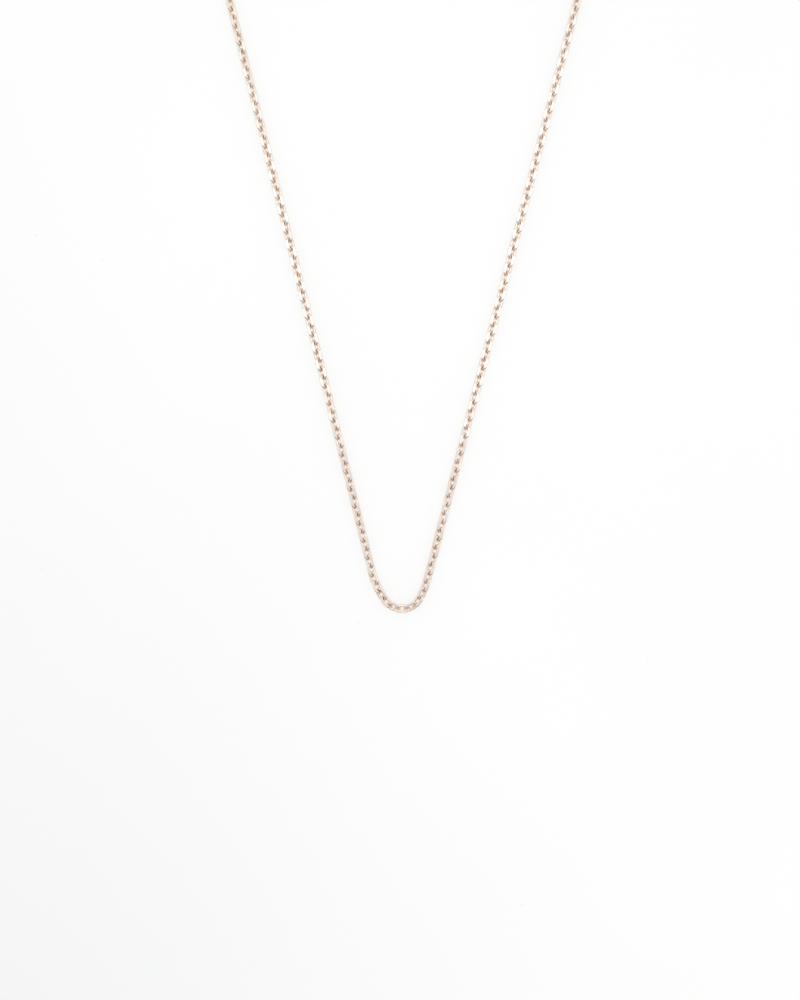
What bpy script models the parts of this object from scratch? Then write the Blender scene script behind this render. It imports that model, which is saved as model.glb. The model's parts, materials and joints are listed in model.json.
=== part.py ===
"""Chain necklace lying flat: a cable chain in jointed runs, a lobster clasp and an end ring with a tag.

Metres, +Z up, the surface it lies on at z = 0, +Y from the bottom bend to the clasp.
Every link of the real chain is a wire oval in a plane at 45 degrees to the surface, alternately to one
side and the other. A run of links is one solid here: a chamfered bar that fills the links' common outline,
with the outer half of a real link standing out of each end, so that neighbouring runs are linked.
"""

import math

import bmesh
import bpy
from mathutils import Matrix, Vector

MM = 0.001

# The chain
WIRE = 0.46 * MM
LINK_WIDTH = 1.57 * MM
PITCH = 1.325 * MM
LINK_PLAY = 0.02 * MM
LEG_OFFSET = (LINK_WIDTH - WIRE) / 2
END_WIRE_OFFSET = (PITCH + WIRE + LINK_PLAY) / 2
# The largest square that fits inside the round wire, as half its side
SQUARE = WIRE / (2 * math.sqrt(2))
LYING_HEIGHT = LEG_OFFSET / math.sqrt(2) + WIRE / 2
# How far past the middle of its end link a run's bar begins, where the next link's end wire lies
BAR_FOOT = PITCH / 2 - WIRE
# The ends of the links are half octagons
OCTAGON_TAN = math.tan(math.radians(22.5))

# Runs of links, counted from the middle of the bottom bend up each side
ROOT_LINKS = 3
BEND_RUNS = 2
BEND_LINKS = 3
STRAND_RUNS = 23
STRAND_LINKS = 7

# The course of the chain: a V with a round bend at the bottom and a wide arc at the top
HALF_ANGLE = math.radians(14.25)
TOP_RADIUS = 42.5 * MM
# The chain's lowest point, from the point where the V's two straight lines would meet
LOWEST = Vector((0.28 * MM, 11.505 * MM))
# Each side's bend: its radius, and how far it turns before it eases into the straight stretch
BENDS = {
    "right": (2.9 * MM, math.radians(60.0)),
    "left": (3.2 * MM, math.radians(54.0)),
}
EASING_RADIUS = 12.8 * MM
# The sign of X on each side
MIRROR = {"right": 1.0, "left": -1.0}
# Runs that turn by less than this have a straight bar
STRAIGHT_WITHIN = math.radians(1.0)

# The last run of each side turns until its last link fits the ring that it holds
END_TWIST = {"right": math.radians(-45.0), "left": math.radians(45.0)}
END_HEIGHT = {"right": 1.00 * MM, "left": LINK_WIDTH / 2}

# The rings
CLASP_RING_RADIUS = 1.20 * MM
CLASP_RING_WIRE = 0.50 * MM
END_RING_RADIUS = 1.95 * MM
END_RING_WIRE = 0.60 * MM
END_RING_HEIGHT = 0.80 * MM
TAG_RING_RADIUS = 1.20 * MM
TAG_RING_WIRE = 0.40 * MM
RING_PLAY = 0.04 * MM
END_RING_PLAY = 0.075 * MM
RING_SEGMENTS = 24
WIRE_SEGMENTS = 8

# The tag
TAG_LENGTH = 5.20 * MM
TAG_WIDTH = 3.20 * MM
TAG_THICKNESS = 0.35 * MM
TAG_HOLE = 0.45 * MM
TAG_HOLE_INSET = 0.95 * MM
TAG_HEIGHT = 0.875 * MM
TAG_SLOPE = math.radians(8.5)
TAG_BEVEL = 0.06 * MM
TAG_SEGMENTS = 36

# The clasp, in its own plane: its eye's middle at the origin and its nose towards +Y
CLASP_THICKNESS = 1.80 * MM
CLASP_BEVEL = 0.18 * MM
EYE_RADIUS = 1.15 * MM
EYE_HOLE = 0.70 * MM
EYE_THICKNESS = 0.60 * MM
EYE_SEGMENTS = 24
NECK_WIDTH = 1.50 * MM
# How far the neck reaches into the claw
NECK_ROOT = 1.20 * MM
CLAW_MIDDLE = Vector((0.0, 5.20 * MM))
CLAW_HALF_WIDTH = 2.30 * MM
CLAW_HALF_LENGTH = 3.90 * MM
CLAW_SEGMENTS = 44
MOUTH_MIDDLE = Vector((0.10 * MM, 5.95 * MM))
MOUTH_HALF_WIDTH = 1.05 * MM
MOUTH_HALF_LENGTH = 1.85 * MM
MOUTH_SEGMENTS = 32
GATE_LOW = 4.30 * MM
GATE_HIGH = 7.45 * MM
GATE_GAP = 0.06 * MM
SLOT_THICKNESS = 0.90 * MM
SLOT_LOW = 2.30 * MM
SLOT_HIGH = 4.515 * MM
SLOT_REACH = 0.10 * MM
PIVOT = Vector((-1.15 * MM, 3.35 * MM, 0.0))
PIN_RADIUS = 0.26 * MM
PIN_HOLE = 0.30 * MM
PIN_LENGTH = 1.70 * MM
TRIGGER_THICKNESS = 0.80 * MM
TRIGGER_BEVEL = 0.08 * MM
GATE_SEGMENTS = 8
HUB_RADIUS = 0.80 * MM
# The part of the hub's rim that stands clear of the gate and the tab
HUB_ARC = (math.radians(200.0), math.radians(350.0))
HUB_SEGMENTS = 10
# The thumb tab's corners, from the claw's middle
TAB = ((-2.95 * MM, -1.05 * MM), (-3.10 * MM, -1.45 * MM), (-2.85 * MM, -1.85 * MM))
SPRING_RADIUS = 0.45 * MM
SPRING_WIRE = 0.12 * MM
SPRING_PITCH = 0.15 * MM
SPRING_TURNS = 2
SPRING_STEPS = 12
SPRING_HEIGHT = -0.38 * MM
SPRING_RECESS = 0.60 * MM
SPRING_RECESS_TOP = 0.00 * MM

# Facets of a small hole and of the pin
HOLE_SEGMENTS = 20
PIN_SEGMENTS = 16
# A cutter that goes right through is this many times as thick as the piece
THROUGH = 2
# Edges that turn by more than this stay sharp
SHARP_ANGLE = math.radians(32.0)

ROSE_GOLD = (0.90, 0.62, 0.50)
SPRING_STEEL = (0.72, 0.70, 0.68)


# ---------------------------------------------------------------- scene helpers


def clear_scene():
    for thing in list(bpy.data.objects):
        bpy.data.objects.remove(thing, do_unlink=True)


def material(name, colour, roughness, metallic):
    made = bpy.data.materials.new(name)
    made.use_nodes = True
    shader = made.node_tree.nodes["Principled BSDF"]
    shader.inputs["Base Color"].default_value = (*colour, 1.0)
    shader.inputs["Roughness"].default_value = roughness
    shader.inputs["Metallic"].default_value = metallic
    made.diffuse_color = (*colour, 1.0)
    return made


def add_object(name, shape, matrix, colour=ROSE_GOLD, roughness=0.18):
    """Links a mesh made from a bmesh into the scene, placed by its matrix."""
    mesh = bpy.data.meshes.new(name)
    bmesh.ops.recalc_face_normals(shape, faces=shape.faces)
    shape.to_mesh(mesh)
    shape.free()
    mesh.shade_smooth()
    mesh.set_sharp_from_angle(angle=SHARP_ANGLE)
    thing = bpy.data.objects.new(name, mesh)
    bpy.context.scene.collection.objects.link(thing)
    place(thing, matrix)
    thing.data.materials.append(material(name, colour, roughness, 1.0))
    return thing


def place(thing, matrix):
    thing.location = matrix.to_translation()
    thing.rotation_euler = matrix.to_euler()


def cut(thing, cutter_name, shape, operation="DIFFERENCE"):
    """Adds a Boolean modifier whose cutter lies in the object's own frame."""
    mesh = bpy.data.meshes.new(cutter_name)
    bmesh.ops.recalc_face_normals(shape, faces=shape.faces)
    shape.to_mesh(mesh)
    shape.free()
    cutter = bpy.data.objects.new(cutter_name, mesh)
    bpy.context.scene.collection.objects.link(cutter)
    cutter.parent = thing
    cutter.hide_render = True
    cutter.display_type = "WIRE"
    modifier = thing.modifiers.new(cutter_name, "BOOLEAN")
    modifier.object = cutter
    modifier.operation = operation
    modifier.solver = "EXACT"


def frame_matrix(origin, across, along, up):
    """A placement whose local X, Y and Z are the three given directions."""
    turn = Matrix((across, along, up)).transposed()
    return Matrix.Translation(origin) @ turn.to_4x4()


# ---------------------------------------------------------------- course of the chain


def bend_end(side):
    """Where a side's bend has turned into its straight stretch, from the V's apex."""
    radius, turn = BENDS[side]
    last = math.pi / 2 - HALF_ANGLE
    out = radius * math.sin(turn) + EASING_RADIUS * (math.sin(last) - math.sin(turn))
    rise = radius * (1 - math.cos(turn)) + EASING_RADIUS * (math.cos(turn) - math.cos(last))
    return Vector((LOWEST.x + MIRROR[side] * out, LOWEST.y + rise))


def stretches(side):
    """A side's course from the lowest point up: lengths and curvatures."""
    radius, turn = BENDS[side]
    easing = math.pi / 2 - HALF_ANGLE - turn
    straight = TOP_RADIUS / math.tan(HALF_ANGLE) - bend_end(side).length
    return (
        (radius * turn, 1 / radius),
        (EASING_RADIUS * easing, 1 / EASING_RADIUS),
        (straight, 0.0),
        (TOP_RADIUS * math.pi, 1 / TOP_RADIUS),
    )


def course(side, distance):
    """Position in the plane and heading, at a distance along the chain from its lowest point."""
    out, rise, heading = 0.0, 0.0, 0.0
    left = distance
    for length, curvature in stretches(side):
        step = min(left, length)
        turned = heading + curvature * step
        if curvature:
            out += (math.sin(turned) - math.sin(heading)) / curvature
            rise += (math.cos(heading) - math.cos(turned)) / curvature
        else:
            out += step * math.cos(heading)
            rise += step * math.sin(heading)
        heading = turned
        left -= step
        if left <= 0:
            break
    return Vector((LOWEST.x + MIRROR[side] * out, LOWEST.y + rise)), heading


def side_links():
    return ROOT_LINKS // 2 + BEND_RUNS * BEND_LINKS + STRAND_RUNS * STRAND_LINKS


def end_share(index):
    """0 along the chain, rising smoothly to 1 over the last run of links."""
    share = 1 - (side_links() - index) / (STRAND_LINKS - 1)
    share = min(max(share, 0.0), 1.0)
    return share * share * (3 - 2 * share)


def link_frame(side, index, family=None):
    """The frame of a link: local X across it in its own plane, Y along the chain, Z off its plane.

    The index counts links from the middle one. family 0 or 1 says which way the plane leans: by default the
    link's own way.
    """
    spot, heading = course(side, index * PITCH)
    share = end_share(index)
    height = LYING_HEIGHT + (END_HEIGHT[side] - LYING_HEIGHT) * share
    along = Vector((MIRROR[side] * math.cos(heading), math.sin(heading), 0.0))
    outward = Vector((math.sin(heading), -MIRROR[side] * math.cos(heading), 0.0)) * MIRROR[side]
    lean = index % 2 if family is None else family
    tilt = math.radians(-45.0 if lean else 45.0) + END_TWIST[side] * share
    across = outward * math.cos(tilt) + Vector((0, 0, 1)) * math.sin(tilt)
    return frame_matrix(Vector((spot.x, spot.y, height)), across, along, across.cross(along))


def end_wire(side, index):
    """The frame at the middle of a link's far end wire. Its local X lies along that wire."""
    return link_frame(side, index) @ Matrix.Translation((0.0, END_WIRE_OFFSET, 0.0))


def runs():
    """Every run of links as (name, side, first link, last link), from the root outwards on each side."""
    found = []
    for side in MIRROR:
        first = ROOT_LINKS // 2 + 1
        for number in range(1, BEND_RUNS + STRAND_RUNS + 1):
            count = BEND_LINKS if number <= BEND_RUNS else STRAND_LINKS
            found.append((f"chain_{side}_{number:02d}", side, first, first + count - 1))
            first += count
    return found


# ---------------------------------------------------------------- one run of links


def bar_outline():
    """The chamfered square that holds the four legs of two crossed links, counter-clockwise."""
    wide = LEG_OFFSET + SQUARE
    quarter = [(wide, -SQUARE), (wide, SQUARE)]
    outline = []
    for _ in range(4):
        outline += quarter
        quarter = [(-z, x) for x, z in quarter]
    return outline


def add_bar(shape, frames):
    """The sides of a run's bar through the given frames. Returns its first and last outline."""
    outlines = []
    for frame, forward in frames:
        outlines.append([shape.verts.new(frame @ Vector((x, forward, z))) for x, z in bar_outline()])
    for one, other in zip(outlines, outlines[1:]):
        join_sections(shape, one, other)
    return outlines[0], outlines[-1]


def join_sections(shape, one, other):
    count = len(one)
    for k in range(count):
        after = (k + 1) % count
        shape.faces.new([one[k], one[after], other[after], other[k]])


def eye_outline(radius):
    """Half an octagon round the end of a link, as (sideways, forward) points from one leg to the other."""
    middle = END_WIRE_OFFSET - LEG_OFFSET
    straight = (radius, middle + radius * OCTAGON_TAN)
    chamfer = (radius * OCTAGON_TAN, middle + radius)
    mirrored = [(-sideways, forward) for sideways, forward in (chamfer, straight)]
    return [straight, chamfer, *mirrored]


def add_eye(shape, frame, way, outline):
    """Closes a bar with half a link, whose legs grow out of two opposite corners of the bar's end.

    way is 1 on the run's last link and -1 on its first.
    """
    inner = LEG_OFFSET - SQUARE
    outer = LEG_OFFSET + SQUARE

    def pair(sideways, forward):
        return [shape.verts.new(frame @ Vector((sideways, way * forward, z))) for z in (-SQUARE, SQUARE)]

    near = pair(inner, -BAR_FOOT)
    far = pair(-inner, -BAR_FOOT)
    v = outline
    shape.faces.new([*near, v[1], v[2], v[3], v[4], far[1], far[0], v[5], v[6], v[7], v[0]])
    sections = [[*near, v[1], v[0]]]
    for inside, outside in zip(eye_outline(inner), eye_outline(outer)):
        low_in, high_in = pair(*inside)
        low_out, high_out = pair(*outside)
        sections.append([low_in, high_in, high_out, low_out])
    sections.append([*far, v[4], v[5]])
    for one, other in zip(sections, sections[1:]):
        join_sections(shape, one, other)


def add_run(name, first, middle, last, origin):
    """Makes a run of links from the frames of its first, middle and last link, with its origin at a frame."""
    back = origin.inverted()
    first, middle, last = back @ first, back @ middle, back @ last
    frames = [(first, BAR_FOOT), (middle, 0.0), (last, -BAR_FOOT)]
    if first.col[1].xyz.angle(last.col[1].xyz) < STRAIGHT_WITHIN:
        frames.pop(1)
    shape = bmesh.new()
    start, finish = add_bar(shape, frames)
    add_eye(shape, first, -1, start)
    add_eye(shape, last, 1, finish)
    return add_object(name, shape, origin)


def add_root_run():
    """The run at the middle of the bottom bend, which both sides hang from."""
    reach = ROOT_LINKS // 2
    turned = link_frame("left", reach) @ Matrix.Rotation(math.pi, 4, "X")
    middle = link_frame("right", 0)
    same_lean = link_frame("right", 0, family=reach % 2)
    return add_run("chain_bottom", turned, same_lean, link_frame("right", reach), middle)


def add_side_runs(root):
    """Every other run, each hanging from the one before it and turning about that one's last end wire."""
    made = {"right": root, "left": root}
    for name, side, first, last in runs():
        start, finish = link_frame(side, first), link_frame(side, last)
        middle = link_frame(side, (first + last) // 2, family=first % 2)
        run = add_run(name, start, middle, finish, end_wire(side, first - 1))
        attach(run, made[side])
        made[side] = run
    return made


# ---------------------------------------------------------------- rings and the tag


def add_ring(name, radius, wire, frame):
    """A round ring whose axis is the frame's local Z."""
    shape = bmesh.new()
    section = [
        shape.verts.new((radius + wire / 2 * math.cos(turn), 0.0, wire / 2 * math.sin(turn)))
        for turn in (2 * math.pi * k / WIRE_SEGMENTS for k in range(WIRE_SEGMENTS))
    ]
    edges = [shape.edges.new((section[k - 1], section[k])) for k in range(WIRE_SEGMENTS)]
    bmesh.ops.spin(
        shape,
        geom=section + edges,
        axis=(0, 0, 1),
        cent=(0, 0, 0),
        angle=2 * math.pi,
        steps=RING_SEGMENTS,
        use_merge=True,
    )
    bmesh.ops.remove_doubles(shape, verts=shape.verts, dist=0.001 * MM)
    return add_object(name, shape, frame)


def standing_frame(origin, along):
    """A frame whose local X runs along the given level direction, Y up and Z across it."""
    up = Vector((0, 0, 1))
    return frame_matrix(origin, along, up, along.cross(up))


def level_frame(origin, along, slope=0.0):
    """A frame whose local Y runs along the given level direction, dipping by the slope, and Z up."""
    across = along.cross(Vector((0, 0, 1)))
    down = Matrix.Rotation(-slope, 3, across)
    return frame_matrix(origin, across, down @ along, down @ Vector((0, 0, 1)))


def level_along(frame):
    along = frame.col[1].xyz
    return Vector((along.x, along.y, 0.0)).normalized()


def clasp_ring_places():
    """The last link's end wire, the clasp ring's middle, and where that ring crosses the clasp's eye."""
    hinge = end_wire("right", side_links())
    along = level_along(hinge)
    held = hinge.to_translation()
    height = CLASP_RING_RADIUS + CLASP_RING_WIRE / 2
    reach = CLASP_RING_RADIUS - WIRE / 2 - CLASP_RING_WIRE / 2 - RING_PLAY
    out = math.sqrt(reach**2 - (height - held.z) ** 2)
    middle = Vector((*(held + along * out).xy, height))
    eye_height = CLASP_THICKNESS / 2
    out = math.sqrt(CLASP_RING_RADIUS**2 - (height - eye_height) ** 2)
    eye = Vector((*(middle + along * out).xy, eye_height))
    return hinge, along, middle, eye


def end_ring_places():
    """The last link's end wire, the end ring's middle, the tag ring's axis and middle, the tag's hole."""
    hinge = end_wire("left", side_links())
    along = level_along(hinge)
    held = hinge.to_translation()
    reach = END_RING_RADIUS - WIRE / 2 - END_RING_WIRE / 2 - END_RING_PLAY
    middle = Vector((*(held + along * reach).xy, END_RING_HEIGHT))
    far_wire = middle + along * END_RING_RADIUS
    height = TAG_RING_RADIUS + TAG_RING_WIRE / 2
    reach = TAG_RING_RADIUS - END_RING_WIRE / 2 - TAG_RING_WIRE / 2 - RING_PLAY
    out = math.sqrt(reach**2 - (height - far_wire.z) ** 2)
    tag_ring = Vector((*(far_wire + along * out).xy, height))
    out = math.sqrt(TAG_RING_RADIUS**2 - (height - TAG_HEIGHT) ** 2)
    hole = Vector((*(tag_ring + along * out).xy, TAG_HEIGHT))
    return hinge, along, middle, far_wire, tag_ring, hole


def moved_origin(thing, point):
    """Moves an object's origin to a point in the world without moving its mesh."""
    back = thing.matrix_basis.inverted() @ Vector(point)
    thing.data.transform(Matrix.Translation(-back))
    thing.location = point


def add_tag(frame):
    """A plain oval tag, with its hole's middle at the origin and its length along local Y."""
    middle = Vector((0.0, TAG_LENGTH / 2 - TAG_HOLE_INSET))
    outline = ellipse(middle, TAG_WIDTH / 2, TAG_LENGTH / 2, 0.0, 2 * math.pi, TAG_SEGMENTS)[:-1]
    tag = add_object("tag", plate(outline, TAG_THICKNESS, TAG_BEVEL), frame)
    cut(tag, "tag_hole", column(TAG_HOLE, TAG_THICKNESS * THROUGH, HOLE_SEGMENTS))
    return tag


# ---------------------------------------------------------------- plates


def ellipse(middle, half_width, half_length, start, finish, steps):
    """Points on an ellipse from one angle to another, both ends included."""
    points = []
    for k in range(steps + 1):
        turn = start + (finish - start) * k / steps
        points.append((middle.x + half_width * math.cos(turn), middle.y + half_length * math.sin(turn)))
    return points


def plate(outline, thickness, bevel=0.0, height=0.0):
    """A flat plate with the given outline, centred on a height, with its rims beveled."""
    shape = bmesh.new()
    face = shape.faces.new([shape.verts.new((x, y, height - thickness / 2)) for x, y in outline])
    raised = bmesh.ops.extrude_face_region(shape, geom=[face])
    verts = [v for v in raised["geom"] if isinstance(v, bmesh.types.BMVert)]
    bmesh.ops.translate(shape, vec=(0, 0, thickness), verts=verts)
    if bevel:
        rims = [e for e in shape.edges if abs(e.verts[0].co.z - e.verts[1].co.z) < thickness / 4]
        bmesh.ops.bevel(shape, geom=rims, offset=bevel, segments=2, profile=0.5, affect="EDGES")
    return shape


def column(radius, length, segments, middle=(0, 0, 0)):
    """An upright cylinder."""
    shape = bmesh.new()
    bmesh.ops.create_cone(
        shape,
        cap_ends=True,
        segments=segments,
        radius1=radius,
        radius2=radius,
        depth=length,
        matrix=Matrix.Translation(middle),
    )
    return shape


# ---------------------------------------------------------------- the clasp


def ellipse_angle(height, middle, half_length):
    """The angle, left of an ellipse's middle line, at which its edge passes a height."""
    return math.pi - math.asin((height - middle.y) / half_length)


def claw_outline():
    return ellipse(CLAW_MIDDLE, CLAW_HALF_WIDTH, CLAW_HALF_LENGTH, 0.0, 2 * math.pi, CLAW_SEGMENTS)[:-1]


def eye_plate_outline():
    """The eye and the neck that joins it to the claw."""
    half_neck = NECK_WIDTH / 2
    start = math.acos(half_neck / EYE_RADIUS)
    round_eye = ellipse(Vector((0, 0)), EYE_RADIUS, EYE_RADIUS, start, -math.pi - start, EYE_SEGMENTS)
    neck_top = CLAW_MIDDLE.y - CLAW_HALF_LENGTH + NECK_ROOT
    return [(half_neck, neck_top), *round_eye, (-half_neck, neck_top)]


def add_clasp_body(frame):
    """The lobster claw: a beveled hook with a thinner eye, a slot for the trigger and a hole for its pin."""
    body = add_object("clasp_body", plate(claw_outline(), CLASP_THICKNESS, CLASP_BEVEL), frame)
    cut(body, "clasp_eye_plate", plate(eye_plate_outline(), EYE_THICKNESS, 0.0), "UNION")
    cut(body, "clasp_eye_hole", column(EYE_HOLE, EYE_THICKNESS * THROUGH, EYE_SEGMENTS))
    mouth = ellipse(MOUTH_MIDDLE, MOUTH_HALF_WIDTH, MOUTH_HALF_LENGTH, 0.0, 2 * math.pi, MOUTH_SEGMENTS)[:-1]
    cut(body, "clasp_mouth", plate(mouth, CLASP_THICKNESS * THROUGH))
    left = -CLAW_HALF_WIDTH * 2
    gate = [(left, GATE_LOW), (MOUTH_MIDDLE.x, GATE_LOW), (MOUTH_MIDDLE.x, GATE_HIGH), (left, GATE_HIGH)]
    cut(body, "clasp_gate", plate(gate, CLASP_THICKNESS * THROUGH))
    slot = [(left, SLOT_LOW), (SLOT_REACH, SLOT_LOW), (SLOT_REACH, SLOT_HIGH), (left, SLOT_HIGH)]
    cut(body, "clasp_slot", plate(slot, SLOT_THICKNESS))
    cut(body, "clasp_pin_hole", column(PIN_HOLE, CLASP_THICKNESS * THROUGH, HOLE_SEGMENTS, PIVOT))
    return body


def trigger_outline():
    """The gate, its thumb tab and its hub, counter-clockwise from the gate's tip."""
    tip = GATE_HIGH - GATE_GAP
    low = GATE_LOW + GATE_GAP
    outer = ellipse(
        CLAW_MIDDLE,
        CLAW_HALF_WIDTH,
        CLAW_HALF_LENGTH,
        ellipse_angle(tip, CLAW_MIDDLE, CLAW_HALF_LENGTH),
        ellipse_angle(low, CLAW_MIDDLE, CLAW_HALF_LENGTH),
        GATE_SEGMENTS,
    )
    tab = [(CLAW_MIDDLE.x + x, CLAW_MIDDLE.y + y) for x, y in TAB]
    hub = ellipse(PIVOT, HUB_RADIUS, HUB_RADIUS, *HUB_ARC, HUB_SEGMENTS)
    inner = ellipse(
        MOUTH_MIDDLE,
        MOUTH_HALF_WIDTH,
        MOUTH_HALF_LENGTH,
        ellipse_angle(low, MOUTH_MIDDLE, MOUTH_HALF_LENGTH),
        ellipse_angle(tip, MOUTH_MIDDLE, MOUTH_HALF_LENGTH),
        GATE_SEGMENTS,
    )
    return [*outer, *tab, *hub, *inner]


def add_trigger(frame):
    """The sprung gate, with its origin on the pin's axis."""
    pivot = frame @ Matrix.Translation(PIVOT)
    outline = [(x - PIVOT.x, y - PIVOT.y) for x, y in trigger_outline()]
    trigger = add_object("clasp_trigger", plate(outline, TRIGGER_THICKNESS, TRIGGER_BEVEL), pivot)
    cut(trigger, "trigger_pin_hole", column(PIN_HOLE, TRIGGER_THICKNESS * THROUGH, HOLE_SEGMENTS))
    recess_middle = (0, 0, SPRING_RECESS_TOP - TRIGGER_THICKNESS / 2)
    recess = column(SPRING_RECESS, TRIGGER_THICKNESS, HOLE_SEGMENTS, recess_middle)
    cut(trigger, "trigger_spring_recess", recess)
    return trigger


def add_pin(frame):
    pin = column(PIN_RADIUS, PIN_LENGTH, PIN_SEGMENTS)
    return add_object("clasp_pivot_pin", pin, frame @ Matrix.Translation(PIVOT))


def add_spring(frame):
    """The trigger's coil spring, round the pin and inside the trigger's recess."""
    curve = bpy.data.curves.new("clasp_spring", "CURVE")
    curve.dimensions = "3D"
    curve.bevel_depth = SPRING_WIRE / 2
    curve.bevel_resolution = 1
    curve.use_fill_caps = True
    spline = curve.splines.new("POLY")
    steps = SPRING_TURNS * SPRING_STEPS
    spline.points.add(steps)
    for k, point in enumerate(spline.points):
        turn = 2 * math.pi * k / SPRING_STEPS
        height = SPRING_HEIGHT + SPRING_PITCH * k / SPRING_STEPS
        point.co = (SPRING_RADIUS * math.cos(turn), SPRING_RADIUS * math.sin(turn), height, 1.0)
    spring = bpy.data.objects.new("clasp_spring", curve)
    bpy.context.scene.collection.objects.link(spring)
    place(spring, frame @ Matrix.Translation(PIVOT))
    spring.data.materials.append(material("clasp_spring", SPRING_STEEL, 0.30, 1.0))
    return spring


# ---------------------------------------------------------------- the necklace


def attach(child, parent):
    """Parents an object to another and keeps its place in the world."""
    child.parent = parent
    child.matrix_parent_inverse = world_matrix(parent).inverted()


def world_matrix(thing):
    if thing.parent is None:
        return thing.matrix_basis.copy()
    return world_matrix(thing.parent) @ thing.matrix_parent_inverse @ thing.matrix_basis


def add_clasp_side(last_run):
    hinge, along, middle, eye = clasp_ring_places()
    ring = add_ring("clasp_jump_ring", CLASP_RING_RADIUS, CLASP_RING_WIRE, standing_frame(middle, along))
    moved_origin(ring, hinge.to_translation())
    attach(ring, last_run)
    frame = level_frame(eye, along)
    body = add_clasp_body(frame)
    attach(body, ring)
    for piece in (add_pin(frame), add_trigger(frame), add_spring(frame)):
        attach(piece, body)


def add_ring_side(last_run):
    hinge, along, middle, far_wire, tag_ring_middle, hole = end_ring_places()
    ring = add_ring("end_ring", END_RING_RADIUS, END_RING_WIRE, level_frame(middle, along))
    moved_origin(ring, hinge.to_translation())
    attach(ring, last_run)
    small = add_ring("tag_ring", TAG_RING_RADIUS, TAG_RING_WIRE, standing_frame(tag_ring_middle, along))
    moved_origin(small, far_wire)
    attach(small, ring)
    attach(add_tag(level_frame(hole, along, TAG_SLOPE)), small)


def world_box():
    """The lowest and highest corner of everything that isn't a cutter."""
    scene = bpy.context.evaluated_depsgraph_get()
    low, high = Vector((1, 1, 1)), Vector((-1, -1, -1))
    for thing in bpy.data.objects:
        if thing.hide_render or thing.type not in {"MESH", "CURVE"}:
            continue
        shown = thing.evaluated_get(scene)
        for corner in shown.to_mesh().vertices:
            spot = shown.matrix_world @ corner.co
            low = Vector(map(min, low, spot))
            high = Vector(map(max, high, spot))
        shown.to_mesh_clear()
    return low, high


def centre_over_origin(holder):
    """Moves the whole necklace so that its box's middle is over the origin and its lowest point at z = 0."""
    bpy.context.view_layer.update()
    low, high = world_box()
    middle = (low + high) / 2
    holder.location = (-middle.x, -middle.y, -low.z)
    bpy.context.view_layer.update()


def main():
    clear_scene()
    holder = bpy.data.objects.new("necklace", None)
    bpy.context.scene.collection.objects.link(holder)
    root = add_root_run()
    attach(root, holder)
    last = add_side_runs(root)
    add_clasp_side(last["right"])
    add_ring_side(last["left"])
    centre_over_origin(holder)


main()
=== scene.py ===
"""The looks of a fine rose-gold cable chain necklace that lies flat on white paper, seen from above.

Metres, +Z up. Every link is a closed oval of round wire, in a plane at 45 degrees to the paper, alternately
to one side and the other. Its upper leg is planed on top and its lower leg underneath, so the flats are level.
The links of one run are one piece, which rides on that run's CAD body.
"""

import json
import math
import random

import bmesh
import bpy
from mathutils import Matrix, Vector


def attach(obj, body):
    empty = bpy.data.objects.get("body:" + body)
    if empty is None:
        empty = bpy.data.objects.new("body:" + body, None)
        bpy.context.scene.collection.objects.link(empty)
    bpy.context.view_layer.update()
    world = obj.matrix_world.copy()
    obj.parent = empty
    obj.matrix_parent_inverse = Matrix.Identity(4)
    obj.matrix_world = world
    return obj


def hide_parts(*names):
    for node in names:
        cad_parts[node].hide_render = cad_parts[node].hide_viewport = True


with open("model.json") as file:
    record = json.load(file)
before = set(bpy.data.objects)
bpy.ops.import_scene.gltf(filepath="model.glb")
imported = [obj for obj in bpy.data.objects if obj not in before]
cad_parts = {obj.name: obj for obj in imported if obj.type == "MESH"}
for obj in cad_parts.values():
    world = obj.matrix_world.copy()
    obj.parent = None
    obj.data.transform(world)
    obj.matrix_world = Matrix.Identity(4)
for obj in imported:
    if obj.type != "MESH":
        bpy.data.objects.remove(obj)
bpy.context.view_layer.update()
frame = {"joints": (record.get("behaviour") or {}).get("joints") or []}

MM = 0.001

# The chain, as in the CAD part, but with its links 0.02 to 0.03 mm fuller
WIRE = 0.49 * MM
LINK_WIDTH = 1.59 * MM
PITCH = 1.325 * MM
LINK_PLAY = 0.02 * MM
LEG_OFFSET = (LINK_WIDTH - WIRE) / 2
END_WIRE_OFFSET = (PITCH + WIRE + LINK_PLAY) / 2
LYING_HEIGHT = LEG_OFFSET / math.sqrt(2) + WIRE / 2

# Runs of links, counted from the middle of the bottom bend up each side
ROOT_LINKS = 3
BEND_RUNS = 2
BEND_LINKS = 3
STRAND_RUNS = 23
STRAND_LINKS = 7

# The course of the chain: a V with a round bend at the bottom and a wide arc at the top
HALF_ANGLE = math.radians(14.25)
TOP_RADIUS = 42.5 * MM
# The chain's lowest point, from the point where the V's two straight lines would meet
LOWEST = Vector((0.28 * MM, 11.505 * MM))
# Each side's bend: its radius, and how far it turns before it eases into the straight stretch
BENDS = {
    "right": (2.9 * MM, math.radians(60.0)),
    "left": (3.2 * MM, math.radians(54.0)),
}
EASING_RADIUS = 12.8 * MM
# The sign of X on each side
MIRROR = {"right": 1.0, "left": -1.0}

# The last run of each side turns until its last link fits the ring that it holds
END_TWIST = {"right": math.radians(-45.0), "left": math.radians(45.0)}
END_HEIGHT = {"right": 1.00 * MM, "left": LINK_WIDTH / 2}

# How far the flats are planed into the wire
FLAT_DEPTH = 0.034 * MM
# Facets of the wire: round its section, and along each half-round end
WIRE_SEGMENTS = 16
END_STEPS = 14
# Two points closer than this are one when a link is planed
PLANING_TOLERANCE = 0.0005 * MM
# How much single links are turned about their own middles, as they come to rest
ROLL_SPREAD = math.radians(1.9)
YAW_SPREAD = math.radians(0.7)
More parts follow.
